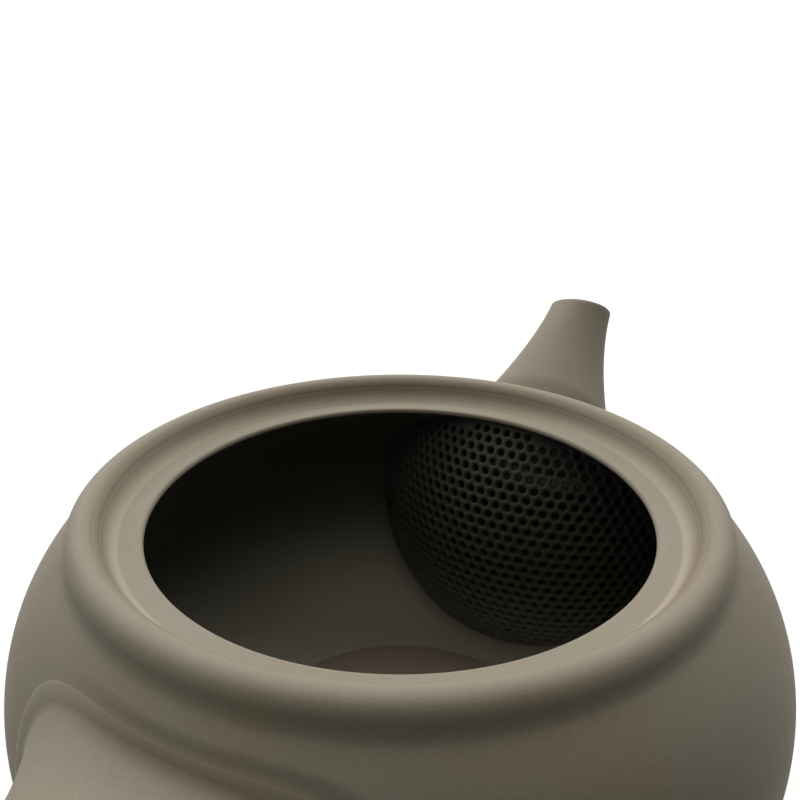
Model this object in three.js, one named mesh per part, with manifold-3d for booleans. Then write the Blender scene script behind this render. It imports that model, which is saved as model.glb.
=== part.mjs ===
// A small unglazed teapot (kyusu) with its mouth open: a squat turned body with a rounded collar and a ledge
// for a lid, a short flared spout, a hollow trumpet handle opposite the spout, and a pierced clay dome inside
// as the strainer. Millimetres, +Z up. The origin is the centre of the flat base. The spout points along +X.
import * as THREE from "three";
import { mergeVertices } from "three/addons/utils/BufferGeometryUtils.js";
import Module from "manifold-3d";

const wasm = await Module();
wasm.setup();

// Body: a turned bowl on a flat base
const BELLY_R = 49.3; // widest outer radius
const BELLY_Z = 31.2; // height of the widest ring
const WALL = 3.6; // thickness of the clay at the belly
const BASE_R = 30; // flat base that stands on the table
const BASE_ROUND = 1.6; // rounding between the base and the lower curve
const LOWER_CURVE_R = 17; // radius at which the lower curve's ellipse has its centre
const UPPER_CURVE_R = 22.7; // the same for the shoulder's
const FLOOR = 5; // clay under the inner floor
const CROWN_R = 24; // raised middle of the inner floor
const CROWN = 2.3; // height of the raised middle

// Mouth: an opening, a flat ledge for the lid, a hollow slope, and a rounded collar
const MOUTH_R = 32; // radius of the opening
const MOUTH_Z = 50; // height of the ledge
const LIP = 0.9; // thickness of the ledge at the opening
const LEDGE = 2.7; // width of the ledge
const SLOPE_RISE = 2.6; // height above the ledge at which the slope runs into the collar
const SLOPE_HOLLOW = [0.46, 0.15]; // shares of the slope's width and rise that its curve is pulled to
const COLLAR_RISE = 3.8; // top of the collar above the ledge
const COLLAR_TOP_R = 38.4; // radius of the collar's top
const COLLAR_SIDE_R = 40.3; // outer radius of the collar
const COLLAR_SIDE_Z = 1.4; // height of the collar's side above the ledge
const NOTCH_R = 40.8; // radius at which the shoulder starts under the collar
const NOTCH_Z = 0.5; // height above the ledge at which it starts

// Spout: a thrown cone whose root is pressed wide and upright against the wall
const SPOUT_ROOT = [36, 29]; // start of its axis, inside the wall: distance from the pot's axis, height
const SPOUT_TIP = [66.6, 60.7]; // centre of the tip
const SPOUT_ROOT_LEAN = 12; // degrees that the root's rings look up
const SPOUT_TIP_R = 5.6; // outer radius at the tip
const SPOUT_FLARE_UP = 9; // what the flare adds to the upright radius at the root
const SPOUT_FLARE_SIDE = 17; // what it adds sideways
const SPOUT_FLARE_POWER = 1.6; // how late the flare opens
const SPOUT_WALL = 1.9; // thickness at the tip
const SPOUT_ROOT_WALL = 3; // thickness at the root
const SPOUT_EDGE = 0.8; // rounding of the tip
const SPOUT_WINDOW = 0.38; // share of the spout's length at which the wall is pierced for it

// Handle: a hollow trumpet that rises away from the body
const HANDLE_SIDE = 184; // degrees about +Z from the spout to the handle
const HANDLE_ROOT = [34, 31.2]; // start of its axis, inside the wall: distance from the pot's axis, height
const HANDLE_END = [121, 48]; // centre of the free end
const HANDLE_NECK_R = 10.6; // slimmest outer radius
const HANDLE_NECK = 0.34; // share of the handle's length at which the neck lies
const HANDLE_FLARE_UP = 9.6; // what the flare adds to the upright radius at the root
const HANDLE_FLARE_SIDE = 20; // what it adds sideways
const HANDLE_FLARE_SQUARE = 1.8; // what it adds to the exponent of the rings, which is 2 where they are round
const HANDLE_FLARE_POWER = 1.6; // how late the flare opens
const HANDLE_END_R = 13.4; // outer radius at the free end
const HANDLE_WALL = 3.2;
const HANDLE_ROUND = 2.4; // rounding of the free end
const HANDLE_PLUG = 5; // clay between the handle's bore and the body

// Strainer: part of a thin sphere that ends at the wall, pierced with hexagonal holes
const STRAINER_BALL = 33; // radius of the sphere
const STRAINER_AT = [58.5, 27]; // centre of the sphere: distance from the pot's axis, height
const STRAINER_WALL = 1.6;
const STRAINER_REACH = 33; // length of the pattern over the sphere, from its middle
const STRAINER_RIM = 1; // clay left whole along the wall
const HOLE_R = 1.2; // across the corners of a hole
const HOLE_PITCH = 3.6;

const JOINT = 0.3; // slip joint between two pieces of clay
const TURNED_SIDES = 48;
const ROUND_SIDES = 32;

const clay = new THREE.MeshStandardMaterial({ color: 0x857d6f, roughness: 0.78, metalness: 0 });
const shadedClay = new THREE.MeshStandardMaterial({ color: 0x4c4a43, roughness: 0.8, metalness: 0 });

// A closed geometry as a solid that can be joined and cut.
function solidOf(geometry) {
  geometry.deleteAttribute("normal");
  geometry.deleteAttribute("uv");
  const merged = mergeVertices(geometry, 1e-3);
  const vertProperties = new Float32Array(merged.attributes.position.array);
  const triVerts = new Uint32Array(merged.index.array);
  return new wasm.Manifold(new wasm.Mesh({ numProp: 3, vertProperties, triVerts }));
}

// A solid as a named mesh.
function meshOf(name, solid, material) {
  const made = solid.getMesh();
  const geometry = new THREE.BufferGeometry();
  geometry.setAttribute("position", new THREE.BufferAttribute(made.vertProperties, 3));
  geometry.setIndex(new THREE.BufferAttribute(made.triVerts, 1));
  geometry.computeVertexNormals();
  const mesh = new THREE.Mesh(geometry, material);
  mesh.name = name;
  return mesh;
}

// A ring or solid turned about +Y from [radius, distance] points that run up the outside and down the inside.
function lathe(points, sides) {
  return new THREE.LatheGeometry(points.map(([r, y]) => new THREE.Vector2(r, y)), sides);
}

// The same about +Z.
const turned = (points) => solidOf(lathe(points, TURNED_SIDES).rotateX(Math.PI / 2));

// Points of an ellipse about [r, z] from one angle to another, in radians from the outward direction.
function arc([r, z], across, up, from, to, steps) {
  return Array.from({ length: steps + 1 }, (_, i) => {
    const a = THREE.MathUtils.lerp(from, to, i / steps);
    return [r + across * Math.cos(a), z + up * Math.sin(a)];
  });
}

// A quarter or less of an ellipse about [centreR, BELLY_Z], from the widest ring to the point [r, z].
function fromBelly(widestR, centreR, [r, z], steps) {
  const across = widestR - centreR;
  const end = Math.acos((r - centreR) / across) * Math.sign(z - BELLY_Z);
  return arc([centreR, BELLY_Z], across, (z - BELLY_Z) / Math.sin(end), 0, end, steps);
}

// The round collar from one angle to another.
function collarArc(from, to, steps) {
  const middle = [COLLAR_TOP_R, MOUTH_Z + COLLAR_SIDE_Z];
  return arc(middle, COLLAR_SIDE_R - COLLAR_TOP_R, COLLAR_RISE - COLLAR_SIDE_Z, from, to, steps);
}

// The inside of the collar, the hollow slope and the ledge, from the collar's top to the opening.
function rimProfile() {
  const end = Math.PI - Math.asin((SLOPE_RISE - COLLAR_SIDE_Z) / (COLLAR_RISE - COLLAR_SIDE_Z));
  const inside = collarArc(Math.PI / 2, end, 2).slice(1);
  const top = new THREE.Vector2(...inside[inside.length - 1]);
  const crease = new THREE.Vector2(MOUTH_R + LEDGE, MOUTH_Z);
  const [across, up] = SLOPE_HOLLOW;
  const rise = top.clone().sub(crease);
  const pull = new THREE.Vector2(across, up).multiply(rise).add(crease);
  const slope = new THREE.QuadraticBezierCurve(top, pull, crease).getPoints(3).slice(1);
  return [...inside, ...slope.map(({ x, y }) => [x, y]), [MOUTH_R, MOUTH_Z]];
}

// The outside of the pot from the base up to the collar's top.
function outerProfile() {
  const lower = fromBelly(BELLY_R, LOWER_CURVE_R, [BASE_R + BASE_ROUND, BASE_ROUND], 8);
  const shoulder = fromBelly(BELLY_R, UPPER_CURVE_R, [NOTCH_R, MOUTH_Z + NOTCH_Z], 8);
  const collar = collarArc(0, Math.PI / 2, 4);
  return [[BASE_R, 0], ...lower.reverse(), ...shoulder.slice(1), ...collar];
}

// The inside of the pot from the lip down to the floor.
function innerProfile() {
  const widest = BELLY_R - WALL;
  const upper = fromBelly(widest, UPPER_CURVE_R, [MOUTH_R, MOUTH_Z - LIP], 6);
  const lower = fromBelly(widest, LOWER_CURVE_R, [CROWN_R + CROWN, FLOOR], 7);
  return [...upper.reverse(), ...lower.slice(1)];
}

// Moves a profile sideways: outwards for one that runs up, inwards for one that runs down.
function moved(profile, by) {
  return profile.map(([r, z], i) => {
    const [r0, z0] = profile[Math.max(i - 1, 0)];
    const [r1, z1] = profile[Math.min(i + 1, profile.length - 1)];
    const length = Math.hypot(r1 - r0, z1 - z0);
    return [r + (by * (z1 - z0)) / length, z - (by * (r1 - r0)) / length];
  });
}

// Both profiles as full solids, with a joint's slack to the clay.
function outsideOfBody() {
  const [base, ...wall] = moved(outerProfile(), JOINT);
  const rim = wall[wall.length - 1];
  return turned([[0, -JOINT], [base[0], -JOINT], ...wall, [0, rim[1]]]);
}

function insideOfBody() {
  const wall = moved(innerProfile(), JOINT).reverse();
  const [floor, top] = [wall[0], wall[wall.length - 1]];
  return turned([[0, floor[1]], ...wall, [0, top[1]]]);
}

// A straight axis in the pot's XZ plane whose rings lean from `rootLean` to square with the axis.
function axisFrom([r0, z0], [r1, z1], rootLean) {
  const rise = Math.atan2(z1 - z0, r1 - r0);
  const lerp = THREE.MathUtils.lerp;
  return {
    length: Math.hypot(r1 - r0, z1 - z0),
    middle: (share) => [lerp(r0, r1, share), lerp(z0, z1, share)],
    lean: (share) => lerp(THREE.MathUtils.degToRad(rootLean), rise, share),
  };
}

// How much further out a superellipse lies than the ellipse with its axes, in the direction of [x, z].
function squared(x, z, exponent) {
  const away = Math.hypot(x, z);
  return away > 0 ? away / (Math.abs(x) ** exponent + Math.abs(z) ** exponent) ** (1 / exponent) : 1;
}

// Lays what was turned about +Y along an axis, widens its rings sideways and squares them.
function laidAlong(axis, geometry, widen, exponent = () => 2) {
  const place = geometry.attributes.position;
  for (let i = 0; i < place.count; i += 1) {
    const share = place.getY(i) / axis.length;
    const [r, z] = axis.middle(share);
    const lean = axis.lean(share);
    const out = squared(place.getX(i), place.getZ(i), exponent(share));
    const across = place.getX(i) * out;
    const aside = -place.getZ(i) * out * widen(share);
    place.setXYZ(i, r + across * Math.sin(lean), aside, z - across * Math.cos(lean));
  }
  return geometry;
}

const spoutAxis = axisFrom(SPOUT_ROOT, SPOUT_TIP, SPOUT_ROOT_LEAN);
const handleAxis = axisFrom(HANDLE_ROOT, HANDLE_END, 0);

// Outer radius of the spout at a share of its length, for a flare that adds `flare` at the root.
const spoutRadius = (share, flare) => SPOUT_TIP_R + flare * Math.max(1 - share, 0) ** SPOUT_FLARE_POWER;
const spoutUp = (share) => spoutRadius(share, SPOUT_FLARE_UP);
const spoutWiden = (share) => spoutRadius(share, SPOUT_FLARE_SIDE) / spoutUp(share);
const spoutBore = (share) => spoutUp(share) - THREE.MathUtils.lerp(SPOUT_ROOT_WALL, SPOUT_WALL, share);

// Evenly spaced numbers from one value to another, both included.
function spaced(from, to, steps) {
  return Array.from({ length: steps + 1 }, (_, i) => THREE.MathUtils.lerp(from, to, i / steps));
}

function makeSpout() {
  const length = spoutAxis.length;
  const outside = spaced(0, 1 - SPOUT_EDGE / length, 12).map((share) => [spoutUp(share), share * length]);
  const edge = [SPOUT_TIP_R - SPOUT_EDGE, length - SPOUT_EDGE];
  const tip = arc(edge, SPOUT_EDGE, SPOUT_EDGE, Math.PI / 4, Math.PI / 2, 1);
  const inside = spaced(1, 0, 12).map((share) => [spoutBore(share), share * length]);
  const outline = [...outside, ...tip, ...inside];
  const tube = laidAlong(spoutAxis, lathe([...outline, outline[0]], ROUND_SIDES), spoutWiden);
  return solidOf(tube).subtract(outsideOfBody());
}

// The window in the body's wall behind the strainer: as wide as the spout's bore where it passes the wall.
function spoutWindow() {
  const length = spoutAxis.length;
  const end = 2 * SPOUT_WINDOW;
  const past = spaced(SPOUT_WINDOW, end, 5).map((share) => [spoutBore(share), share * length]);
  const outline = [[0, 0], [spoutBore(SPOUT_WINDOW), 0], ...past, [0, end * length]];
  const widen = (share) => spoutWiden(Math.max(share, SPOUT_WINDOW));
  return solidOf(laidAlong(spoutAxis, lathe(outline, ROUND_SIDES), widen));
}

function makeBody() {
  const crown = [[CROWN_R, FLOOR + CROWN], [0, FLOOR + CROWN]];
  const shell = turned([[0, 0], ...outerProfile(), ...rimProfile(), ...innerProfile(), ...crown]);
  return shell.subtract(spoutWindow());
}

// How open the handle's flare is at a share of its length: 1 at the root and 0 from the neck on.
const handleFlare = (share) => Math.max(1 - share / HANDLE_NECK, 0) ** HANDLE_FLARE_POWER;

// Outer radius of the handle there, for a flare that adds `flare` at the root.
function handleRadius(share, flare) {
  const swell = THREE.MathUtils.smoothstep(share, HANDLE_NECK, 1) * (HANDLE_END_R - HANDLE_NECK_R);
  return HANDLE_NECK_R + swell + flare * handleFlare(share);
}

const handleUp = (share) => handleRadius(share, HANDLE_FLARE_UP);
const handleWiden = (share) => handleRadius(share, HANDLE_FLARE_SIDE) / handleUp(share);
const handleExponent = (share) => 2 + HANDLE_FLARE_SQUARE * handleFlare(share);

function makeHandle() {
  const length = handleAxis.length;
  const last = 1 - HANDLE_ROUND / length;
  const plug = (BELLY_R + HANDLE_PLUG - HANDLE_ROOT[0]) / length;
  const flare = spaced(0, HANDLE_NECK, 7);
  const grip = spaced(HANDLE_NECK, last, 6).slice(1);
  const outside = [...flare, ...grip].map((share) => [handleUp(share), share * length]);
  const edge = [HANDLE_END_R - HANDLE_ROUND, length - HANDLE_ROUND];
  const end = arc(edge, HANDLE_ROUND, HANDLE_ROUND, Math.PI / 6, Math.PI / 2, 2);
  const bore = spaced(last, plug, 5).map((share) => [handleUp(share) - HANDLE_WALL, share * length]);
  const outline = [[0, 0], ...outside, ...end, ...bore, [0, plug * length]];
  const tube = laidAlong(handleAxis, lathe(outline, ROUND_SIDES), handleWiden, handleExponent);
  return solidOf(tube.rotateZ(THREE.MathUtils.degToRad(HANDLE_SIDE))).subtract(outsideOfBody());
}

// The six corners of a regular hexagon.
function hexagon([x, y], radius) {
  return Array.from({ length: 6 }, (_, i) => {
    const a = ((i + 0.5) * Math.PI) / 3;
    return [x + radius * Math.cos(a), y + radius * Math.sin(a)];
  });
}

// The place in the pot of a point of the flat pattern, laid over a sphere of the given radius.
function onSphere([x, y], radius) {
  const turn = Math.atan2(y, x);
  const lean = Math.hypot(x, y) / STRAINER_BALL;
  const [r, z] = STRAINER_AT;
  const across = radius * Math.sin(lean);
  return [r - radius * Math.cos(lean), across * Math.cos(turn), z + across * Math.sin(turn)];
}

// Whether a point of the strainer leaves room for a whole hole and the rim beside the pot's wall.
function clearOfWall([x, y, z]) {
  const place = new THREE.Vector3(Math.hypot(x, y), z, 0);
  const wall = innerProfile().map(([r, h]) => new THREE.Vector3(r, h, 0));
  const nearest = new THREE.Vector3();
  return wall.slice(1).every((end, i) => {
    const start = wall[i];
    new THREE.Line3(start, end).closestPointToPoint(place, true, nearest);
    const beside = place.y <= start.y && place.y >= end.y;
    return nearest.distanceTo(place) > JOINT + STRAINER_RIM + HOLE_R && !(beside && nearest.x < place.x);
  });
}

// A shell of hexagonal cells over the sphere, each with a hole where the wall leaves room for one.
function piercedShell() {
  const rowPitch = HOLE_PITCH * Math.sin(Math.PI / 3);
  const rows = Math.ceil(STRAINER_REACH / rowPitch);
  const cells = new Map();
  for (let row = -rows; row <= rows; row += 1) {
    for (let column = -2 * rows; column <= 2 * rows; column += 1) {
      const middle = [(column + row / 2) * HOLE_PITCH, row * rowPitch];
      if (Math.hypot(...middle) < STRAINER_REACH) cells.set(`${column},${row}`, { middle, column, row });
    }
  }
  const corners = [];
  const quad = (a, b, c, d) => corners.push(...a, ...b, ...c, ...a, ...c, ...d);
  const over = (point) => onSphere(point, STRAINER_BALL);
  const under = (point) => onSphere(point, STRAINER_BALL - STRAINER_WALL);
  const neighbours = [[0, 1], [-1, 1], [-1, 0], [0, -1], [1, -1], [1, 0]];
  for (const { middle, column, row } of cells.values()) {
    const edge = hexagon(middle, HOLE_PITCH / Math.sqrt(3));
    const hole = hexagon(middle, HOLE_R);
    const open = clearOfWall(over(middle));
    neighbours.forEach(([aside, up], i) => {
      const next = (i + 1) % 6;
      if (open) {
        quad(over(edge[i]), over(hole[i]), over(hole[next]), over(edge[next]));
        quad(under(edge[i]), under(edge[next]), under(hole[next]), under(hole[i]));
        quad(over(hole[i]), under(hole[i]), under(hole[next]), over(hole[next]));
      } else {
        corners.push(...over(edge[i]), ...over(middle), ...over(edge[next]));
        corners.push(...under(edge[i]), ...under(edge[next]), ...under(middle));
      }
      if (!cells.has(`${column + aside},${row + up}`)) {
        quad(over(edge[i]), over(edge[next]), under(edge[next]), under(edge[i]));
      }
    });
  }
  const shell = new THREE.BufferGeometry();
  shell.setAttribute("position", new THREE.Float32BufferAttribute(corners, 3));
  return solidOf(shell);
}

const makeStrainer = () => piercedShell().intersect(insideOfBody());

const kyusu = new THREE.Group();
kyusu.add(meshOf("body", makeBody(), clay));
kyusu.add(meshOf("spout", makeSpout(), clay));
kyusu.add(meshOf("handle", makeHandle(), clay));
kyusu.add(meshOf("strainer", makeStrainer(), shadedClay));

export default kyusu;
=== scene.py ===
"""Dresses the packed clay teapot: a turned body, a flared spout, a hollow handle and a pierced dome strainer.

Metres, +Z up, the origin at the centre of the flat base and the spout along +X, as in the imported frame.
"""

from __future__ import annotations

import logging
import math
from dataclasses import dataclass, field
from enum import Enum
from typing import Callable, NamedTuple, Sequence, Union

import bmesh
import bpy
from mathutils import Matrix, Vector


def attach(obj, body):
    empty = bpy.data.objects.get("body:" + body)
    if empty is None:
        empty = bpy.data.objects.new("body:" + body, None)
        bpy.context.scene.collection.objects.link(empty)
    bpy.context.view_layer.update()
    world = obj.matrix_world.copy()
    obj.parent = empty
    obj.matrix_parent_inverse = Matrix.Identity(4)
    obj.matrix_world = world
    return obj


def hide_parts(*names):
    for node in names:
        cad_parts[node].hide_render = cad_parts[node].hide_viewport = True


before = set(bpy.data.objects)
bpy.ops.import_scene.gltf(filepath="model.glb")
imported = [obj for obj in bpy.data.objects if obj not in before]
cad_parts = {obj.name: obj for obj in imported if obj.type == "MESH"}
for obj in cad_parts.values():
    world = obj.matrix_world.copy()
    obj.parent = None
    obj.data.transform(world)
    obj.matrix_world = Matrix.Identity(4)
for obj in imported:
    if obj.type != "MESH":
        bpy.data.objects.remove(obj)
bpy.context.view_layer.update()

MM = 0.001
FULL_TURN = 2 * math.pi
MERGE_DISTANCE = 1e-6
LOG = logging.getLogger("teapot")
COOL = (0.96, 1.0, 1.05)
WHITE = (1.0, 1.0, 1.0)
WARM = (1.04, 1.0, 0.9)

Socket = bpy.types.NodeSocket
Piece = bpy.types.Object
Ring = Callable[[float], Vector]
Number = Union[float, "Wire"]
Colour = tuple[float, float, float]
WallCurve = tuple[float, float, float]


def lerp(start: float, end: float, share: float) -> float:
    """Returns the value at a share of the way from start to end."""
    return start + (end - start) * share


def bent(start: float, pull: float, end: float, share: float) -> float:
    """Returns the value at a share of a curve from start to end that leaves and arrives towards pull."""
    return lerp(lerp(start, pull, share), lerp(pull, end, share), share)


def spaced(start: float, end: float, steps: int) -> list[float]:
    """Returns steps + 1 evenly spaced values, both ends included."""
    return [lerp(start, end, i / steps) for i in range(steps + 1)]


def linear(red: int, green: int, blue: int) -> Colour:
    """Turns a colour as a screen shows it, 0 to 255, into the linear values that shaders take."""

    def one(value: int) -> float:
        share = value / 255
        return share / 12.92 if share <= 0.04045 else ((share + 0.055) / 1.055) ** 2.4

    return one(red), one(green), one(blue)


class Wire:
    """A shader socket on which arithmetic adds Math nodes."""

    def __init__(self, shader: "Shader", socket: Socket) -> None:
        """Wraps an output socket of the shader's tree."""
        self.shader = shader
        self.socket = socket

    def combined(self, operation: str, first: Number, second: Number) -> "Wire":
        """Adds a Math node.

        Args:
            operation: the node's operation.
            first: its first value.
            second: its second value.

        Returns:
            The node's output.
        """
        node = self.shader.node("ShaderNodeMath", {"operation": operation}, {0: first, 1: second})
        return Wire(self.shader, node.outputs[0])

    def __add__(self, other: Number) -> "Wire":
        """Returns the sum."""
        return self.combined("ADD", self, other)

    __radd__ = __add__

    def __sub__(self, other: Number) -> "Wire":
        """Returns this value less the other."""
        return self.combined("SUBTRACT", self, other)

    def __rsub__(self, other: Number) -> "Wire":
        """Returns the other value less this one."""
        return self.combined("SUBTRACT", other, self)

    def __mul__(self, other: Number) -> "Wire":
        """Returns the product."""
        return self.combined("MULTIPLY", self, other)

    def power(self, exponent: float) -> "Wire":
        """Returns the value's size, without its sign, raised to an exponent."""
        return self.combined("POWER", self.combined("ABSOLUTE", self, 0.0), exponent)


class Shader:
    """A material's node tree with short ways to add nodes."""

    def __init__(self, name: str) -> None:
        """Starts an empty material of the given name with an output and a Principled shader."""
        self.material = bpy.data.materials.new(name)
        self.material.use_nodes = True
        self.tree = self.material.node_tree
        self.tree.nodes.clear()
        self.principled = self.node("ShaderNodeBsdfPrincipled")
        self.node("ShaderNodeOutputMaterial", inputs={"Surface": self.principled.outputs[0]})

    def node(
        self,
        kind: str,
        settings: dict[str, object] | None = None,
        inputs: dict[str | int, object] | None = None,
    ) -> bpy.types.Node:
        """Adds a node.

        Args:
            kind: the node's type.
            settings: its own settings, which are set first.
            inputs: values or links of its sockets, by name or place.

        Returns:
            The node.
        """
        node = self.tree.nodes.new(kind)
        for setting, value in (settings or {}).items():
            setattr(node, setting, value)
        for key, value in (inputs or {}).items():
            self.feed(node, key, value)
        return node

    def feed(self, node: bpy.types.Node, key: str | int, value: object) -> None:
        """Sets a socket, found by name or place, to a value or links it to a Wire or socket."""
        if isinstance(value, Wire):
            value = value.socket
        if isinstance(value, Socket):
            self.tree.links.new(value, node.inputs[key])
        else:
            node.inputs[key].default_value = value

    def place(self) -> Socket:
        """Returns the point being shaded, in metres in the pot's frame."""
        return self.node("ShaderNodeTexCoord").outputs["Object"]

    def coordinate(self, axis: int) -> Wire:
        """Returns the point's x, y or z in metres, for axis 0, 1 or 2."""
        return Wire(self, self.node("ShaderNodeSeparateXYZ", inputs={0: self.place()}).outputs[axis])

    def height(self) -> Wire:
        """Returns the height of the point above the table."""
        return self.coordinate(2)

    def radius(self) -> Wire:
        """Returns the distance of the point from the pot's axis."""
        flat = self.node("ShaderNodeVectorMath", {"operation": "MULTIPLY"}, {0: self.place(), 1: (1, 1, 0)})
        length = self.node("ShaderNodeVectorMath", {"operation": "LENGTH"}, {0: flat.outputs[0]})
        return Wire(self, length.outputs["Value"])

    def noise(self, size: float, detail: float = 2.0, at: object = None) -> Wire:
        """Adds a noise.

        Args:
            size: width of its blotches in metres.
            detail: number of finer layers.
            at: where it is read, or the point being shaded.

        Returns:
            A value about 0.5.
        """
        inputs = {"Vector": at or self.place(), "Scale": 1 / size, "Detail": detail}
        return Wire(self, self.node("ShaderNodeTexNoise", inputs=inputs).outputs[0])

    def rings(self, pitch: float) -> Wire:
        """Returns a noise that is the same all the way round the pot, as lines cut on the wheel are."""
        at = self.node("ShaderNodeCombineXYZ", inputs={0: self.radius(), 1: self.height()})
        return self.noise(pitch, 3.0, at.outputs[0])

    def ramp(self, value: Wire, low: float, high: float, start: float = 0.0, end: float = 1.0) -> Wire:
        """Maps low..high smoothly to start..end and holds the ends."""
        inputs = {0: value, 1: low, 2: high, 3: start, 4: end}
        node = self.node("ShaderNodeMapRange", {"interpolation_type": "SMOOTHSTEP"}, inputs)
        return Wire(self, node.outputs[0])

    def band(self, value: Wire, rising: tuple[float, float], falling: tuple[float, float]) -> Wire:
        """Returns 1 between two stretches, over which it rises from 0 and falls back to 0."""
        return self.ramp(value, *rising) * (1 - self.ramp(value, *falling))

    def mixed(self, first: object, second: object, share: Number) -> Socket:
        """Returns a colour between two colours or links."""
        node = self.node("ShaderNodeMix", {"data_type": "RGBA", "clamp_factor": True}, {0: share})
        for key, value in ((6, first), (7, second)):
            self.feed(node, key, (*value, 1.0) if isinstance(value, tuple) else value)
        return node.outputs[2]

    def bump(self, height: Wire, depth: float, over: object = None) -> Socket:
        """Adds a bump.

        Args:
            height: its relief, about 0 to 1.
            depth: how deep 1 is, in metres.
            over: the normal that it is laid over.

        Returns:
            The normal.
        """
        inputs = {"Strength": 1.0, "Distance": depth, "Height": height}
        if over is not None:
            inputs["Normal"] = over
        return self.node("ShaderNodeBump", inputs=inputs).outputs[0]


class Part(Enum):
    """Which of the pot's surfaces a clay finish is for."""

    TURNED = "turned"
    LUTED = "luted"
    PIERCED = "pierced"


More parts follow.
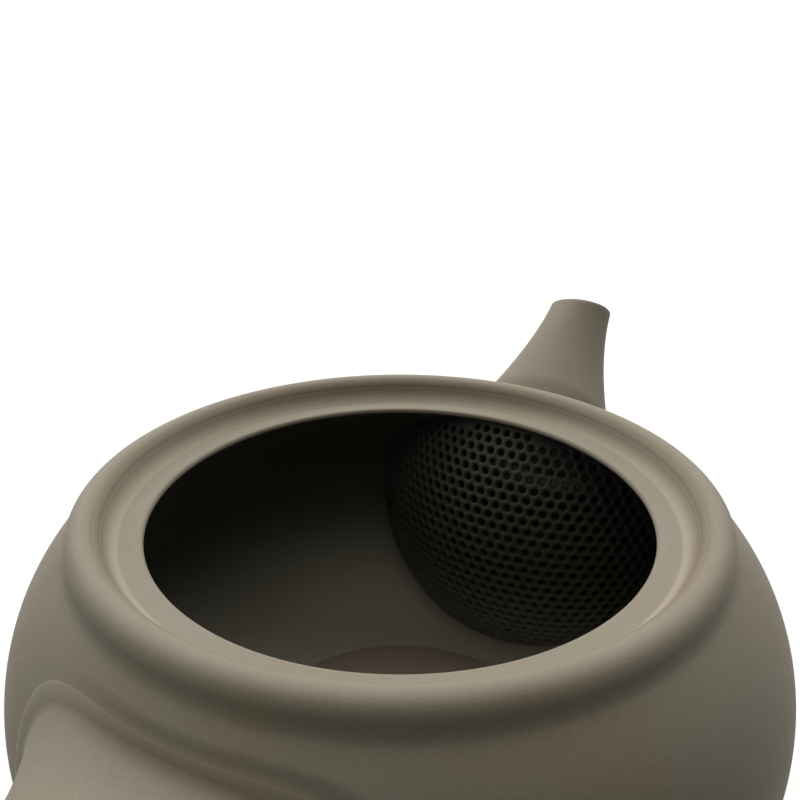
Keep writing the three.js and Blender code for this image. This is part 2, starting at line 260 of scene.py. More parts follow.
@dataclass(frozen=True)
class Clay:
    """Unglazed, fine grained, grey brown clay with a satin skin."""

    name: str
    part: Part
    colour: Colour = linear(139, 131, 115)
    pale: Colour = linear(156, 147, 129)
    warm: Colour = linear(133, 115, 93)
    inner: Colour = linear(156, 153, 137)
    # painted shade: the hollow darkens towards it upwards, and the pieces inside the pot take it
    deep: Colour = linear(34, 41, 38)
    patch: Colour = linear(126, 107, 90)
    speck: Colour = linear(196, 188, 170)
    # pale line along the crease between ledge and slope: a painted highlight
    crease_highlight: Colour = linear(176, 164, 143)
    # colour of the wheel's lines, and painted shade in the groove and along the seam round the handle's root
    slip_and_crease_shade: Colour = linear(92, 82, 66)
    warm_share: float = 0.22
    pale_share: float = 0.3
    speck_share: float = 0.1
    inner_share: float = 0.9
    patch_share: float = 0.8
    crease_highlight_share: float = 0.6
    slope_warmth: float = 0.35
    # shares of painted shade in the groove and along the seam round the handle's root
    groove_shade_share: float = 0.2
    seam_shade_share: float = 0.5
    seam_reach: tuple[float, float] = (1.01, 1.075)
    groove_width: float = 1.5 * MM
    groove_depth: float = 0.2 * MM
    # heights over which the hollow's painted shade deepens
    shade_from: float = 4 * MM
    shade_to: float = 28 * MM
    blotch: float = 16 * MM
    grain: float = 0.28 * MM
    grain_depth: float = 0.007 * MM
    pit: float = 1.4 * MM
    pit_depth: float = 0.02 * MM
    patch_ripple: float = 3 * MM
    wheel_pitch: float = 0.7 * MM
    wheel_depth: float = 0.05 * MM
    rough: float = 0.62
    rough_spread: float = 0.16
    shine: float = 0.1

    def skin(self, shader: Shader) -> Socket:
        """Returns the clay's own colour with soft blotches, fine grain and a few pale specks."""
        blotches = shader.ramp(shader.noise(self.blotch, 3.0), 0.35, 0.65)
        grain = shader.ramp(shader.noise(self.grain, 1.0), 0.3, 0.8)
        specks = shader.ramp(shader.noise(self.pit / 3, 0.0), 0.8, 0.84)
        clay = shader.mixed(self.colour, self.warm, blotches * self.warm_share)
        clay = shader.mixed(clay, self.pale, grain * self.pale_share)
        return shader.mixed(clay, self.speck, specks * self.speck_share)

    def relief(self, shader: Shader) -> Socket:
        """Returns the normal of the grain and shallow pits."""
        grain = shader.bump(shader.noise(self.grain, 2.0), self.grain_depth)
        return shader.bump(shader.noise(self.pit, 3.0), self.pit_depth, grain)

    def material(self, pot: "Body", handle: "Handle") -> bpy.types.Material:
        """Makes the material.

        Args:
            pot: the body, whose sizes say where its inside, rim and floor lie.
            handle: the handle, round whose root a groove runs, with painted shade along it and along the
                root's seam.

        Returns:
            The material.
        """
        shader = Shader(self.name)
        colour, normal = self.skin(shader), self.relief(shader)
        if self.part is Part.TURNED:
            groove = self.groove(shader, handle)
            colour = self.turned_colour(shader, colour, pot)
            # painted shade in the groove round the handle's root
            colour = shader.mixed(colour, self.slip_and_crease_shade, groove * self.groove_shade_share)
            normal = self.turned_relief(shader, normal, pot)
            normal = shader.bump(1 - groove, self.groove_depth, normal)
        elif self.part is Part.LUTED:
            # painted shade along the handle root's seam
            colour = shader.mixed(colour, self.slip_and_crease_shade, self.seam(shader, pot, handle) * self.seam_shade_share)
            # painted shade on the luted pieces where they lie inside the pot
            colour = shader.mixed(colour, self.deep, self.hollow(shader, pot))
        elif self.part is Part.PIERCED:
            # painted shade on the strainer, at least half dark and darker upwards
            colour = shader.mixed(colour, self.shaded_inside_colour(shader, 0.5), self.inner_share)
        rough = shader.noise(self.pit, 2.0) * self.rough_spread + (self.rough - self.rough_spread / 2)
        for socket, value in {"Base Color": colour, "Normal": normal, "Roughness": rough}.items():
            shader.feed(shader.principled, socket, value)
        shader.feed(shader.principled, "Specular IOR Level", self.shine)
        return shader.material

    def shaded_inside_colour(self, shader: Shader, least: float) -> Socket:
        """Returns the hollow's colour, which has at least that share of the deep, painted shade and darkens
        upwards towards it.
        """
        darker = shader.ramp(shader.height(), self.shade_from, self.shade_to, least, 1.0)
        return shader.mixed(self.inner, self.deep, darker)

    def turned_colour(self, shader: Shader, colour: Socket, pot: "Body") -> Socket:
        """Colours the hollow with painted shade that darkens upwards, the patch on its floor, a painted
        highlight at the crease, and the slope.

        Args:
            shader: the material's shader.
            colour: the skin.
            pot: the body.

        Returns:
            The colour.
        """
        radius, height = shader.radius(), shader.height()
        top, lip, crease, collar = pot.mouth_height, pot.lip, pot.crease.radius, pot.collar_top_radius
        hollow = self.hollow(shader, pot) * (1 - shader.ramp(height, top - lip, top - lip / 2))
        # painted shade inside the hollow, darker upwards
        colour = shader.mixed(colour, self.shaded_inside_colour(shader, 0.0), hollow * self.inner_share)
        edge = pot.crown_radius + shader.noise(self.patch_ripple, 2.0) * (self.patch_ripple / 5)
        on_crown = 1 - shader.ramp(radius - edge, -0.4 * MM, 0.3 * MM)
        low = 1 - shader.ramp(height, pot.floor + 2 * pot.crown, pot.floor + 3 * pot.crown)
        colour = shader.mixed(colour, self.patch, on_crown * low * hollow * self.patch_share)
        on_rim = shader.ramp(height, top - lip / 2, top) * (1 - hollow)
        rising, falling = (crease - 0.1 * MM, crease + 0.4 * MM), (crease + 0.6 * MM, crease + 1.9 * MM)
        # painted highlight: a pale line along the crease between the ledge and the slope
        crease_highlight = shader.band(radius, rising, falling) * on_rim
        colour = shader.mixed(colour, self.crease_highlight, crease_highlight * self.crease_highlight_share)
        rising, falling = (crease + 0.8 * MM, crease + 1.8 * MM), (collar - 1.2 * MM, collar)
        slope = shader.band(radius, rising, falling) * on_rim
        colour = shader.mixed(colour, self.warm, slope * self.slope_warmth)
        lines = shader.ramp(shader.rings(self.wheel_pitch / 2), 0.45, 0.7)
        return shader.mixed(colour, self.slip_and_crease_shade, lines * (slope * 0.22 + 0.04))

    def beside(self, shader: Shader, tube: "LutedTube") -> tuple[Wire, Wire]:
        """Returns the offset from a root's middle as a share of half its width, and where its joint shows."""
        side = math.radians(tube.side)
        x, y = shader.coordinate(0), shader.coordinate(1)
        outwards = x * math.cos(side) + y * math.sin(side)
        aside = (y * math.cos(side) - x * math.sin(side)) * (1 / tube.root_half_width)
        return aside, shader.ramp(outwards, 0, self.groove_width) * shader.ramp(aside, -0.8, 0.0)

    def groove(self, shader: Shader, tube: "LutedTube") -> Wire:
        """Returns 1 along the outline of a tube's root, falling to 0 over the groove's width outside it."""
        aside, here = self.beside(shader, tube)
        above = (shader.height() - tube.root_middle) * (1 / tube.root_half_height)
        power = tube.root_squareness
        share = (aside.power(power) + above.power(power)).power(1 / power)
        return (1 - shader.ramp(share, 1.0, 1 + self.groove_width / tube.root_half_width)) * here

    def seam(self, shader: Shader, pot: "Body", tube: "LutedTube") -> Wire:
        """Returns 1 on a tube's root close to the pot's face, falling to 0 a millimetre further out."""
        here = self.beside(shader, tube)[1]
        return (1 - shader.ramp(self.wall_share(shader, pot, pot.face_of_wall), *self.seam_reach)) * here

    def wall_share(self, shader: Shader, pot: "Body", curve: Callable[[bool], WallCurve]) -> Wire:
        """Returns 1 on a curve that runs along the pot's wall, less inside it and more outside.

        Args:
            shader: the material's shader.
            pot: the body.
            curve: gives the curve's lower or upper ellipse.

        Returns:
            The share.
        """
        radius, height = shader.radius(), shader.height()
        shares = []
        for upper in (False, True):
            centre, across, up = curve(upper)
            out = (radius - centre) * (1 / across)
            rise = (height - pot.belly_height) * (1 / up)
            shares.append(out * out + rise * rise)
        low, high = shares
        above = shader.ramp(height, pot.belly_height - 0.1 * MM, pot.belly_height + 0.1 * MM)
        return low + (high - low) * above

    def hollow(self, shader: Shader, pot: "Body") -> Wire:
        """Returns 1 on the inner side of the pot's wall and 0 on the outer side."""
        return 1 - shader.ramp(self.wall_share(shader, pot, pot.middle_of_wall), 0.98, 1.02)

    def turned_relief(self, shader: Shader, normal: Socket, pot: "Body") -> Socket:
        """Lays the wheel's lines over a normal.

        Args:
            shader: the material's shader.
            normal: the normal of the grain.
            pot: the body, on whose slope inside the collar the lines are strongest.

        Returns:
            The normal.
        """
        radius, height = shader.radius(), shader.height()
        inside = 1 - shader.ramp(radius, pot.collar_top_radius - 1 * MM, pot.collar_top_radius + 1 * MM)
        rim = inside * shader.ramp(height, pot.mouth_height - 1 * MM, pot.mouth_height + 1 * MM)
        lines = shader.rings(self.wheel_pitch) * (rim * 0.75 + 0.25)
        return shader.bump(lines, self.wheel_depth, normal)


class Corner(NamedTuple):
    """A point of a turned outline."""

    radius: float
    height: float
    rounding: float = 0.0


def arc(centre: Corner, across: float, up: float, start: float, end: float, steps: int) -> list[Corner]:
    """Returns points of an ellipse from one angle to another, in radians from the outward direction."""
    return [
        Corner(centre.radius + across * math.cos(angle), centre.height + up * math.sin(angle))
        for angle in spaced(start, end, steps)
    ]


def finished_object(name: str, mesh: bmesh.types.BMesh) -> Piece:
    """Closes the seams of a mesh, turns its faces outwards and makes it a smooth object.

    Args:
        name: the piece's name.
        mesh: the mesh, which is freed.

    Returns:
        The object, at the origin.
    """
    bmesh.ops.remove_doubles(mesh, verts=mesh.verts, dist=MERGE_DISTANCE)
    bmesh.ops.dissolve_degenerate(mesh, edges=mesh.edges, dist=MERGE_DISTANCE)
    bmesh.ops.recalc_face_normals(mesh, faces=mesh.faces)
    for face in mesh.faces:
        face.smooth = True
    data = bpy.data.meshes.new(name)
    mesh.to_mesh(data)
    mesh.free()
    piece = bpy.data.objects.new(name, data)
    bpy.context.scene.collection.objects.link(piece)
    return piece


def lofted(rings: Sequence[Ring], around: int, closed: bool) -> bmesh.types.BMesh:
    """Bends a flat grid into a tube that follows rings.

    Args:
        rings: closed curves in order, each a function from the share of a turn to a point.
        around: number of faces round the tube.
        closed: whether the last ring joins the first.

    Returns:
        The mesh.
    """
    rows = [*rings, rings[0]] if closed else list(rings)
    mesh = bmesh.new()
    bmesh.ops.create_grid(mesh, x_segments=around, y_segments=len(rows) - 1, size=0.5)
    for vert in mesh.verts:
        row = round((vert.co.y + 0.5) * (len(rows) - 1))
        turn = round((vert.co.x + 0.5) * around) % around / around
        vert.co = rows[row](turn)
    return mesh


def apply_modifiers(piece: Piece) -> None:
    """Replaces a piece's mesh by the one that its modifiers give, and removes them."""
    graph = bpy.context.evaluated_depsgraph_get()
    raw = piece.data
    piece.data = bpy.data.meshes.new_from_object(piece.evaluated_get(graph))
    piece.data.name = piece.name
    piece.modifiers.clear()
    bpy.data.meshes.remove(raw)


def cut(piece: Piece, tool: Piece) -> None:
    """Cuts a closed tool out of a piece and deletes the tool."""
    difference = piece.modifiers.new("cut", "BOOLEAN")
    difference.operation = "DIFFERENCE"
    difference.solver = "EXACT"
    difference.object = tool
    apply_modifiers(piece)
    bpy.data.objects.remove(tool)


@dataclass
class Body:
    """The turned pot: flat base, round belly, collar, ledge for a lid, and hollow inside."""

    belly_radius: float = 49.3 * MM
    belly_height: float = 31.2 * MM
    wall: float = 3.6 * MM
    base_radius: float = 30 * MM
    base_round: float = 1.6 * MM
    lower_curve_radius: float = 17 * MM
    upper_curve_radius: float = 22.7 * MM
    floor: float = 5 * MM
    crown_radius: float = 24 * MM
    crown: float = 2.3 * MM
    mouth_radius: float = 32 * MM
    mouth_height: float = 50 * MM
    lip: float = 0.9 * MM
    ledge: float = 2.7 * MM
    slope_rise: float = 2.6 * MM
    slope_hollow: tuple[float, float] = (0.46, 0.15)
    collar_rise: float = 3.8 * MM
    collar_top_radius: float = 38.4 * MM
    collar_side_radius: float = 40.45 * MM
    collar_side_height: float = 1.5 * MM
    notch_radius: float = 40.8 * MM
    notch_height: float = 0.5 * MM
    sides: int = 192
    lower_steps: int = 26
    shoulder_steps: int = 24
    inner_upper_steps: int = 20
    inner_lower_steps: int = 22
    collar_steps: int = 16
    slope_steps: int = 8
    rounding_steps: int = 5

    @property
    def foot(self) -> Corner:
        """Where the lower curve meets the base."""
        return Corner(self.base_radius + self.base_round, self.base_round)

    @property
    def notch(self) -> Corner:
        """Where the shoulder meets the collar."""
        return Corner(self.notch_radius, self.mouth_height + self.notch_height, 0.4 * MM)

    @property
    def crease(self) -> Corner:
        """Where the ledge meets the slope."""
        return Corner(self.mouth_radius + self.ledge, self.mouth_height, 0.15 * MM)

    @property
    def lip_under(self) -> Corner:
        """The lower edge of the lip."""
        return Corner(self.mouth_radius, self.mouth_height - self.lip, 0.3 * MM)

    @property
    def inner_foot(self) -> Corner:
        """Where the inner wall meets the floor."""
        return Corner(self.crown_radius + self.crown, self.floor, 0.8 * MM)

    def ellipse(self, widest: float, centre: float, end: Corner) -> tuple[float, float]:
        """Returns the half axes of the ellipse about the belly's height from its widest radius to a point."""
        across = widest - centre
        rise = abs(end.height - self.belly_height)
        return across, rise / math.sqrt(1 - ((end.radius - centre) / across) ** 2)

    def from_belly(self, widest: float, centre: float, end: Corner, steps: int) -> list[Corner]:
        """Returns an ellipse's arc from the widest ring to a point.

        Args:
            widest: radius at the belly.
            centre: radius of the ellipse's centre.
            end: the point.
            steps: number of stretches.

        Returns:
            The points, the widest ring first.
        """
        across, up = self.ellipse(widest, centre, end)
        angle = math.copysign(math.acos((end.radius - centre) / across), end.height - self.belly_height)
        return arc(Corner(centre, self.belly_height), across, up, 0, angle, steps)[:-1] + [end]

    def outer_curve(self, height: float) -> float:
        """Returns the outer radius of the lower curve or the shoulder at a height."""
        centre, across, up = self.face_of_wall(height >= self.belly_height)
        return centre + across * math.sqrt(max(0.0, 1 - ((height - self.belly_height) / up) ** 2))

    def face_of_wall(self, upper: bool) -> WallCurve:
        """Returns the centre radius and half axes of the outer face's upper or lower ellipse."""
        centre = self.upper_curve_radius if upper else self.lower_curve_radius
        return centre, *self.ellipse(self.belly_radius, centre, self.notch if upper else self.foot)

    def middle_of_wall(self, upper: bool) -> WallCurve:
        """Returns the centre radius and half axes of the upper or lower ellipse inside the wall."""
        centre, *outside = self.face_of_wall(upper)
        end = self.lip_under if upper else self.inner_foot
        inside = self.ellipse(self.belly_radius - self.wall, centre, end)
        return centre, (outside[0] + inside[0]) / 2, (outside[1] + inside[1]) / 2

    def rim(self) -> list[Corner]:
        """Returns the round collar, the hollow slope, the ledge and the lip, from the outside in."""
        top = self.mouth_height
        across = self.collar_side_radius - self.collar_top_radius
        up = self.collar_rise - self.collar_side_height
        last = math.pi - math.asin((self.slope_rise - self.collar_side_height) / up)
        middle = Corner(self.collar_top_radius, top + self.collar_side_height)
        collar = arc(middle, across, up, 0, last, self.collar_steps)
        crease, start = self.crease, collar[-1]
        pull_radius = lerp(crease.radius, start.radius, self.slope_hollow[0])
        pull_height = lerp(top, start.height, self.slope_hollow[1])
        slope = [
            Corner(
                bent(start.radius, pull_radius, crease.radius, way),
                bent(start.height, pull_height, crease.height, way),
            )
            for way in spaced(0, 1, self.slope_steps)[1:-1]
        ]
        return [*collar, *slope, crease, Corner(self.mouth_radius, top, 0.5 * MM)]

    def outline(self) -> list[Corner]:
        """Returns the section from the middle of the base, up the outside and down the inside."""
        outer, low, high = self.belly_radius, self.lower_curve_radius, self.upper_curve_radius
        inner = outer - self.wall
        lower = self.from_belly(outer, low, self.foot, self.lower_steps)
        shoulder = self.from_belly(outer, high, self.notch, self.shoulder_steps)
        inner_upper = self.from_belly(inner, high, self.lip_under, self.inner_upper_steps)
        inner_lower = self.from_belly(inner, low, self.inner_foot, self.inner_lower_steps)
        return [
            Corner(0, 0),
            Corner(self.base_radius, 0, 0.5 * MM),
            *lower[::-1],
            *shoulder[1:],
            *self.rim(),
            *inner_upper[::-1],
            *inner_lower[1:],
            Corner(self.crown_radius, self.floor + self.crown, 0.6 * MM),
            Corner(0, self.floor + self.crown),
        ]

    def build(self, window: Piece) -> Piece:
        """Spins the outline and cuts the way to the spout.

        Args:
            window: the closed tool that pierces the wall.

        Returns:
            The piece.
        """
        mesh = bmesh.new()
        outline = self.outline()
        verts = [mesh.verts.new((corner.radius, 0, corner.height)) for corner in outline]
        for pair in zip(verts, verts[1:]):
            mesh.edges.new(pair)
        for vert, corner in zip(verts, outline):
            if corner.rounding:
                bmesh.ops.bevel(
                    mesh,
                    geom=[vert],
                    offset=corner.rounding,
                    segments=self.rounding_steps,
                    profile=0.5,
                    affect="VERTICES",
                    material=-1,
                )
        bmesh.ops.spin(
            mesh,
            geom=mesh.verts[:] + mesh.edges[:],
            cent=(0, 0, 0),
            axis=(0, 0, 1),
            dvec=(0, 0, 0),
            angle=FULL_TURN,
            steps=self.sides,
            use_merge=True,
        )
        piece = finished_object("body_turned", mesh)
        cut(piece, window)
        return piece


@dataclass
class LutedTube:
    """A hollow clay tube whose wide root is pressed and smoothed onto the pot.

    The root and the end of its axis are given by distance from the pot's axis and height, and the root's
    rounded edge by its width and its rise at the top and at the sides.
    """

    pot: Body
    side: float
    root: tuple[float, float]
    end: tuple[float, float]
    root_lean: float
    neck: float
    root_half_width: float
    root_top: float
    root_bottom: float
    root_squareness: float
    end_wall: float
    end_round: float
    pull: float = 0.9
    lift: float = 0.08
    top_lift: float = 0.3
    pad_top: tuple[float, float] = (0.4 * MM, 0.1 * MM)
    pad_side: tuple[float, float] = (0.4 * MM, 0.1 * MM)
    tip_lean: float = 0.0
    tip_roll: float = 0.0
    tip_power: int = 6
    skin: float = 0.15 * MM
    sunk: float = 1.2 * MM
    root_hole: float = 0.0
    around: int = 96
    face_steps: int = 8
    pad_steps: int = 8
    flare_steps: int = 32
    cone_steps: int = 24
    end_steps: int = 10
    bore_steps: int = 16

    @property
    def length(self) -> float:
        """Length of the straight axis."""
        return math.hypot(self.end[0] - self.root[0], self.end[1] - self.root[1])

    @property
    def last(self) -> float:
        """Share of the length at which the end's rounding starts."""
        return 1 - self.end_round / self.length

    @property
    def root_middle(self) -> float:
        """Height of the root's middle."""
        return (self.root_top + self.root_bottom) / 2

    @property
    def root_half_height(self) -> float:
        """Half the height of the root's outline."""
        return (self.root_top - self.root_bottom) / 2

    def radii(self, share: float) -> tuple[float, float]:
        """Returns the outer radius upwards and sideways at a share of the length."""
        raise NotImplementedError

    def lean(self, share: float) -> float:
        """Returns how far the ring there looks up, in radians."""
        rise = math.atan2(self.end[1] - self.root[1], self.end[0] - self.root[0])
        tip = math.radians(self.tip_lean) * share**self.tip_power
        return lerp(math.radians(self.root_lean), rise, share) + tip

    def turned(self, radius: float, aside: float, height: float) -> Vector:
        """Returns the point at a distance along the tube's side of the pot, an offset and a height."""
        return Matrix.Rotation(math.radians(self.side), 3, "Z") @ Vector((radius, aside, height))

    def ring(self, share: float, thinner: float = 0.0) -> Ring:
        """Returns the ring at a share of the length.

        Args:
            share: 0 at the root and 1 at the end.
            thinner: how far it lies inside the outer face.

        Returns:
            The ring, whose turn starts at the top.
        """
        up, aside = (radius - thinner for radius in self.radii(share))
        lean = self.lean(share)
        roll = math.radians(self.tip_roll) * share**self.tip_power
        radius = lerp(self.root[0], self.end[0], share)
        height = lerp(self.root[1], self.end[1], share)

        def point(turn: float) -> Vector:
            above = up * math.cos(FULL_TURN * turn)
            out = aside * math.sin(FULL_TURN * turn)
            higher = height + above * math.cos(lean) + out * math.sin(roll)
            return self.turned(radius - above * math.sin(lean), out * math.cos(roll), higher)

        return point

    def root_point(self, turn: float, size: float, sunk: float) -> Vector:
        """Returns a point of the root's outline on the pot.

        Args:
            turn: share of a turn from the top.
            size: share of the full outline.
            sunk: how far below the pot's face it lies.

        Returns:
            The point.
        """
        power, step = self.root_squareness, 0.1 * MM
        cosine, sine = math.cos(FULL_TURN * turn), math.sin(FULL_TURN * turn)
        reach = size / (abs(cosine) ** power + abs(sine) ** power) ** (1 / power)
        height = self.root_middle + reach * self.root_half_height * cosine
        aside = reach * self.root_half_width * sine
        below, here, above = (self.pot.outer_curve(height + way) for way in (-step, 0, step))
        out = Vector((2 * step, below - above)).normalized()
        radius, height = Vector((here, height)) - out * sunk
        return self.turned(math.sqrt(max(radius**2 - aside**2, 0.0)), aside, height)

    def on_pot(self, size: float, sunk: float) -> Ring:
        """Returns the ring of the root's outline at a share of its size and a depth below the pot's face."""
        return lambda turn: self.root_point(turn, size, sunk)

    def upwards(self, turn: float) -> float:
        """Returns 1 at the top of a ring, falling to 0 at its sides and below."""
        return max(math.cos(FULL_TURN * turn), 0.0) ** 2

    def pad_ring(self, angle: float, smaller: float = 0.0) -> Ring:
        """Returns a ring over the root's rounded edge.

        Args:
            angle: 0 on the pot's face and a quarter turn on the top of the pad.
            smaller: share of the outline that it is further in.

        Returns:
            The ring.
        """

        def point(turn: float) -> Vector:
            above = self.upwards(turn)
            inset, rise = (lerp(side, top, above) for side, top in zip(self.pad_side, self.pad_top))
            size = 1 - smaller - inset * (1 - math.cos(angle)) / self.root_half_width
            return self.root_point(turn, size, self.skin - rise * math.sin(angle))

        return point

    def flare(self, share: float) -> Ring:
        """Returns a ring of the curve that leaves the pot's face and bends out into the neck.

        Args:
            share: 0 on the pot and 1 at the neck.

        Returns:
            The ring.
        """
        step = 0.02
        foot, inward = self.pad_ring(math.pi / 2), self.pad_ring(math.pi / 2, step)
        neck, after = self.ring(self.neck), self.ring(self.neck + step)
        outwards = self.turned(1, 0, 0)
        square, cube = share**2, share**3

        def point(turn: float) -> Vector:
            start, end = foot(turn), neck(turn)
            reach = (end - start).length * self.pull
            lift = lerp(self.lift, self.top_lift, self.upwards(turn))
            leave = (inward(turn) - start).normalized().lerp(outwards, lift).normalized() * reach
            arrive = (after(turn) - end).normalized() * reach
            return (
                start * (2 * cube - 3 * square + 1)
                + leave * (cube - 2 * square + share)
                + end * (3 * square - 2 * cube)
                + arrive * (cube - square)
            )

        return point

    def rounded_end(self) -> list[Ring]:
        """Returns the rings over the end's rounded edge, from the outer face to the bore."""
        rings = []
        half = self.end_wall / 2
        for angle in spaced(0, math.pi, self.end_steps):
            back = self.end_round * (1 - math.sin(angle))
            thinner = half - half * math.cos(angle)
            rings.append(self.ring(1 - back / self.length, thinner))
        return rings

    def outside(self) -> list[Ring]:
        """Returns the rings of the root's face inside the wall, the flare, the cone and the rounded end."""
        rings = [self.on_pot(size, self.sunk) for size in spaced(self.root_hole, 1.0, self.face_steps)]
        rings += [self.pad_ring(angle) for angle in spaced(0, math.pi / 2, self.pad_steps)]
        rings += [self.flare(share) for share in spaced(0, 1, self.flare_steps)[1:]]
        rings += [self.ring(share) for share in spaced(self.neck, self.last, self.cone_steps)[1:-1]]
        return rings + self.rounded_end()


@dataclass
class Spout(LutedTube):
    """The short spout, whose bore meets the way through the pot's wall."""

    side: float = -0.6
    root: tuple[float, float] = (36 * MM, 29 * MM)
    end: tuple[float, float] = (65.9 * MM, 61.3 * MM)
    root_lean: float = 12
    neck: float = 0.52
    root_half_width: float = 17 * MM
    root_top: float = 49.4 * MM
    root_bottom: float = 18 * MM
    root_squareness: float = 2.3
    tip_radius: float = 5.7 * MM
    top_lift: float = 1.0
    tip_lean: float = 10
    tip_roll: float = -5
    flare_up: float = 9 * MM
    flare_side: float = 18 * MM
    flare_power: float = 1.6
    end_wall: float = 1.9 * MM
    end_round: float = 0.5 * MM
    root_wall: float = 3 * MM
    window: float = 0.38
    root_hole: float = 0.55
    face_steps: int = 5
    pad_steps: int = 3
    flare_steps: int = 26
    end_steps: int = 8
    bore_steps: int = 20
    window_steps: int = 8

    def radii(self, share: float) -> tuple[float, float]:
        """Returns the outer radius upwards and sideways at a share of the length."""
        opening = max(1 - share, 0.0) ** self.flare_power
        return self.tip_radius + self.flare_up * opening, self.tip_radius + self.flare_side * opening

    def bore(self, share: float) -> Ring:
        """Returns the bore's ring, which gets no wider inside the pot's wall."""
        return self.ring(share, lerp(self.root_wall, self.end_wall, share))

    def window_tool(self) -> Piece:
        """Returns the closed tool that pierces the pot's wall along the bore."""
        shares = spaced(self.window / 2, 1.6 * self.window, self.window_steps)
        rings = [self.bore(share) for share in shares]
        mesh = lofted(rings, self.around, closed=False)
        bmesh.ops.remove_doubles(mesh, verts=mesh.verts, dist=MERGE_DISTANCE)
        bmesh.ops.holes_fill(mesh, edges=[edge for edge in mesh.edges if edge.is_boundary], sides=0)
        return finished_object("window_tool", mesh)

    def build(self) -> Piece:
        """Lofts the spout's outside and the bore back to the root."""
        rings = self.outside()
        rings += [self.bore(share) for share in spaced(self.last, self.window, self.bore_steps)[1:]]
        return finished_object("spout_luted", lofted(rings, self.around, closed=True))


@dataclass
class Handle(LutedTube):
    """The trumpet handle, open at its end and closed towards the pot."""

    side: float = 184.0
    root: tuple[float, float] = (34 * MM, 31.2 * MM)
    end: tuple[float, float] = (120.9 * MM, 48 * MM)
    root_lean: float = 0
    neck: float = 0.34
    root_half_width: float = 20.8 * MM
    root_top: float = 48.0 * MM
    root_bottom: float = 17 * MM
    root_squareness: float = 4.6
    lift: float = 0.2
    top_lift: float = 0.45
    pad_top: tuple[float, float] = (1.5 * MM, 0.3 * MM)
    pad_side: tuple[float, float] = (3.0 * MM, 0.45 * MM)
    neck_radius: float = 10.6 * MM
    end_radius: float = 13.4 * MM
    end_wall: float = 3.2 * MM
    end_round: float = 2.4 * MM
    plug: float = 5 * MM
    plug_steps: int = 4

    def radii(self, share: float) -> tuple[float, float]:
        """Returns the outer radius upwards and sideways, which are alike past the neck."""
        way = min(max((share - self.neck) / (1 - self.neck), 0.0), 1.0)
        radius = lerp(self.neck_radius, self.end_radius, way * way * (3 - 2 * way))
        return radius, radius

    def build(self) -> Piece:
        """Lofts the handle's outside, the bore and the plug that closes it."""
        wall = self.end_wall
        plug = (self.pot.belly_radius + self.plug - self.root[0]) / self.length
        rings = self.outside()
        rings += [self.ring(share, wall) for share in spaced(self.last, plug, self.bore_steps)[1:]]
        radius = self.radii(plug)[0] - wall
        rings += [self.ring(plug, wall + radius * size) for size in spaced(0, 1, self.plug_steps)[1:]]
        return finished_object("handle_luted", lofted(rings, self.around, closed=False))


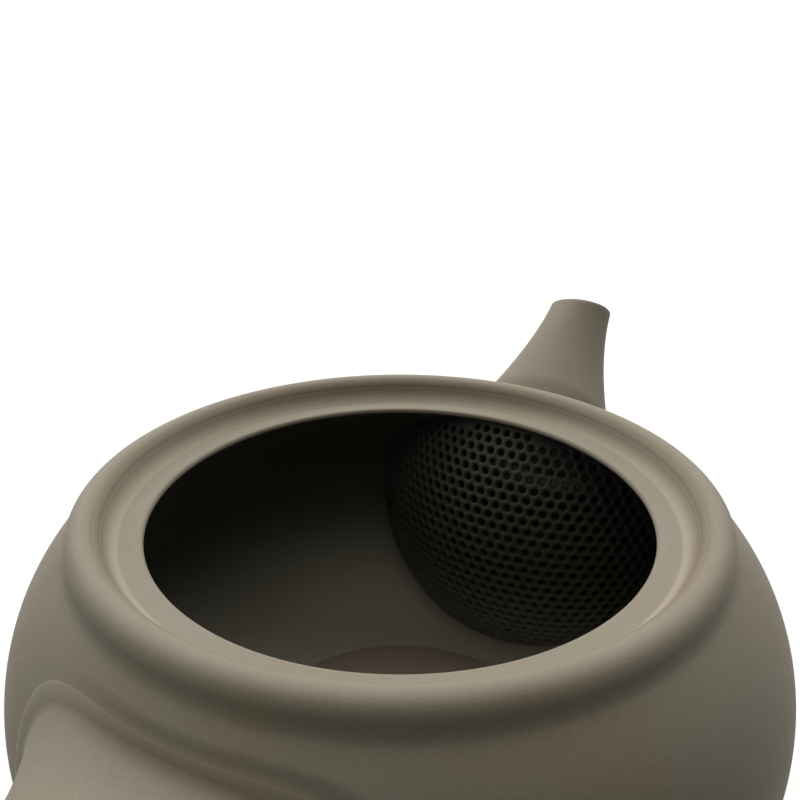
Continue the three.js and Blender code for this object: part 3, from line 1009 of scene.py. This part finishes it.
@dataclass
class Strainer:
    """The thin dome of pierced clay in front of the spout's opening."""

    pot: Body
    ball: float = 33 * MM
    place: tuple[float, float] = (58.5 * MM, 27 * MM)
    wall: float = 1.5 * MM
    reach: float = 34 * MM
    pitch: float = 1.95 * MM
    hole: float = 0.66 * MM
    rim: float = 0.5 * MM
    buried: float = 0.9 * MM
    profile_steps: int = 20

    def __post_init__(self) -> None:
        """Keeps the inner face's points for the many depths that are asked for."""
        self.inner_profile_points = [Vector((c.radius, c.height)) for c in self.inner_profile()]

    def inner_profile(self) -> list[Corner]:
        """Returns the pot's inner face from the lip to the floor."""
        pot = self.pot
        inner = pot.belly_radius - pot.wall
        upper = pot.from_belly(inner, pot.upper_curve_radius, pot.lip_under, self.profile_steps)
        lower = pot.from_belly(inner, pot.lower_curve_radius, pot.inner_foot, self.profile_steps)
        return upper[::-1] + lower[1:]

    def depth(self, point: Vector) -> float:
        """Returns how deep a point lies in the pot's wall, less than zero in the hollow."""
        here = Vector((math.hypot(point.x, point.y), point.z))
        best, outside = math.inf, False
        profile = self.inner_profile_points
        for start, end in zip(profile, profile[1:]):
            along = end - start
            share = min(max((here - start).dot(along) / along.length_squared, 0.0), 1.0)
            foot = start + along * share
            distance = (here - foot).length
            if distance < best:
                best = distance
                outside = (here - foot).dot(Vector((-along.y, along.x))) > 0
        return best if outside else -best

    def on_ball(self, flat: Vector) -> Vector:
        """Lays a point of the flat pattern over the ball, whose middle faces the pot's axis."""
        turn = math.atan2(flat.y, flat.x)
        lean = math.hypot(flat.x, flat.y) / self.ball
        across = self.ball * math.sin(lean)
        radius, height = self.place
        out = radius - self.ball * math.cos(lean)
        return Vector((out, across * math.cos(turn), height + across * math.sin(turn)))

    def build(self) -> Piece:
        """Joins hexagonal cells, opens those that clear the wall, and gives the sheet its thickness."""
        mesh = bmesh.new()
        row_pitch = self.pitch * math.sin(math.pi / 3)
        rows = math.ceil(self.reach / row_pitch)
        clear: list[bool] = []
        for row in range(-rows, rows + 1):
            for column in range(-2 * rows, 2 * rows + 1):
                flat = Vector(((column + row / 2) * self.pitch, row * row_pitch, 0))
                if flat.length > self.reach:
                    continue
                depth = self.depth(self.on_ball(flat))
                if depth < self.buried:
                    bmesh.ops.create_circle(
                        mesh,
                        segments=6,
                        radius=self.pitch / math.sqrt(3),
                        cap_ends=True,
                        matrix=Matrix.Translation(flat),
                    )
                    clear.append(depth < -(self.hole + self.rim))
        open_faces = [face for face, is_open in zip(mesh.faces[:], clear) if is_open]
        bmesh.ops.remove_doubles(mesh, verts=mesh.verts, dist=self.pitch * 0.02)
        inset = self.pitch / 2 - self.hole * math.cos(math.pi / 6)
        bmesh.ops.inset_individual(mesh, faces=open_faces, thickness=inset, use_even_offset=True)
        bmesh.ops.delete(mesh, geom=open_faces, context="FACES_ONLY")
        for vert in mesh.verts:
            vert.co = self.on_ball(vert.co)
        bmesh.ops.recalc_face_normals(mesh, faces=mesh.faces)
        piece = finished_object("strainer_pierced", mesh)
        thick = piece.modifiers.new("thickness", "SOLIDIFY")
        thick.thickness = self.wall
        thick.offset = 0
        smooth = piece.modifiers.new("smooth", "SUBSURF")
        smooth.levels = smooth.render_levels = 1
        apply_modifiers(piece)
        for polygon in piece.data.polygons:
            polygon.use_smooth = True
        return piece


class Lamp(NamedTuple):
    """A lamp, its direction from the pot in degrees and what it gives a white surface that faces it."""

    name: str
    azimuth: float
    elevation: float
    level: float
    tint: Colour


@dataclass
class Studio:
    """Camera, lights, floor and white surroundings."""

    eye: tuple[float, float, float] = (-74.6 * MM, -45.7 * MM, 98.35 * MM)
    azimuth: float = 31.5
    pitch: float = 21.37
    lens: float = 34.2
    nearest: float = 5 * MM
    lamp_distance: float = 0.7
    lamp_size: float = 0.5
    lamps: tuple[Lamp, ...] = (
        Lamp("back_left", 75, 42, 0.62, COOL),
        Lamp("back_right", -15, 42, 0.44, COOL),
        Lamp("back_high", 30, 64, 0.52, WHITE),
        Lamp("left_low", 125, 20, 0.13, COOL),
        Lamp("right_low", -60, 20, 0.05, COOL),
        Lamp("front_high", -150, 64, 0.11, WARM),
    )
    lamp_aim: tuple[float, float, float] = (0, 0, 40 * MM)
    floor_size: float = 3.0
    floor_colour: Colour = (0.083, 0.08, 0.07)
    glow_radii: tuple[float, float] = (0.12, 0.5)
    glow_levels: tuple[float, float] = (0.9, 1.0)
    ambient: float = 0.06

    def camera(self) -> None:
        """Sets the camera where the photograph was taken from."""
        data = bpy.data.cameras.new("camera")
        data.lens = self.lens
        data.clip_start = self.nearest
        camera = bpy.data.objects.new("camera", data)
        camera.location = self.eye
        turn = math.radians(self.azimuth - 90)
        camera.rotation_euler = (math.radians(90 - self.pitch), 0, turn)
        bpy.context.scene.collection.objects.link(camera)
        bpy.context.scene.camera = camera

    def hang(self, lamp: Lamp) -> None:
        """Hangs a square lamp that looks at the pot."""
        distance = self.lamp_distance
        data = bpy.data.lights.new(lamp.name, "AREA")
        data.shape = "SQUARE"
        data.size = self.lamp_size
        data.color = lamp.tint
        data.energy = lamp.level * math.pi**2 * distance**2
        azimuth, elevation = math.radians(lamp.azimuth), math.radians(lamp.elevation)
        flat = math.cos(elevation)
        away = Vector((flat * math.cos(azimuth), flat * math.sin(azimuth), math.sin(elevation)))
        piece = bpy.data.objects.new(lamp.name, data)
        piece.location = Vector(self.lamp_aim) + away * distance
        piece.rotation_mode = "QUATERNION"
        piece.rotation_quaternion = away.to_track_quat("Z", "Y")
        bpy.context.scene.collection.objects.link(piece)

    def seen_directly(self, tree: bpy.types.NodeTree) -> Socket:
        """Returns 1 for rays that show the surroundings: the camera's own, mirrored and refracted ones."""
        path = tree.nodes.new("ShaderNodeLightPath")
        total = path.outputs["Is Camera Ray"]
        for name in ("Is Glossy Ray", "Is Transmission Ray"):
            add = tree.nodes.new("ShaderNodeMath")
            add.operation = "MAXIMUM"
            tree.links.new(total, add.inputs[0])
            tree.links.new(path.outputs[name], add.inputs[1])
            total = add.outputs[0]
        return total

    def surroundings(self) -> None:
        """Makes the world a dim even light that shows as white."""
        world = bpy.data.worlds.new("surroundings")
        world.use_nodes = True
        background = world.node_tree.nodes["Background"]
        background.inputs["Color"].default_value = (1, 1, 1, 1)
        strength = world.node_tree.nodes.new("ShaderNodeMapRange")
        strength.inputs["To Min"].default_value = self.ambient
        world.node_tree.links.new(self.seen_directly(world.node_tree), strength.inputs["Value"])
        world.node_tree.links.new(strength.outputs[0], background.inputs["Strength"])
        bpy.context.scene.world = world

    def floor(self) -> None:
        """Lays a plain pale floor that shows nearly white and keeps the pot's shadow."""
        mesh = bmesh.new()
        bmesh.ops.create_grid(mesh, x_segments=1, y_segments=1, size=self.floor_size)
        floor = finished_object("floor", mesh)
        shader = Shader("floor_paper")
        shader.feed(shader.principled, "Base Color", (*self.floor_colour, 1))
        shader.feed(shader.principled, "Roughness", 0.9)
        far = shader.ramp(shader.radius(), *self.glow_radii, *self.glow_levels)
        glow = Wire(shader, self.seen_directly(shader.tree)) * far
        shader.feed(shader.principled, "Emission Color", (1, 1, 1, 1))
        shader.feed(shader.principled, "Emission Strength", glow)
        floor.data.materials.append(shader.material)

    def build(self) -> None:
        """Makes all of it."""
        self.camera()
        self.surroundings()
        self.floor()
        for lamp in self.lamps:
            self.hang(lamp)
        bpy.context.scene.view_settings.view_transform = "Standard"


@dataclass
class Teapot:
    """All the pieces of the pot."""

    body: Body = field(default_factory=Body)

    def dress(self, piece: Piece, node: str, material: bpy.types.Material) -> None:
        """Gives a piece its material and puts it in its CAD node's place."""
        piece.data.materials.clear()
        piece.data.materials.append(material)
        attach(piece, "root")
        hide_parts(node)
        LOG.info("%s: %d faces", piece.name, len(piece.data.polygons))

    def build(self) -> None:
        """Builds, dresses and places every piece."""
        spout = Spout(self.body)
        handle = Handle(self.body)
        turned = Clay("clay_turned", Part.TURNED).material(self.body, handle)
        luted = Clay("clay_luted", Part.LUTED).material(self.body, handle)
        pierced = Clay("clay_pierced", Part.PIERCED).material(self.body, handle)
        self.dress(self.body.build(spout.window_tool()), "body", turned)
        self.dress(spout.build(), "spout", luted)
        self.dress(handle.build(), "handle", luted)
        self.dress(Strainer(self.body).build(), "strainer", pierced)


def main() -> None:
    """Builds the studio and the pot."""
    logging.basicConfig(level=logging.INFO, format="%(name)s: %(message)s")
    Studio().build()
    Teapot().build()


if __name__ == "__main__":
    main()
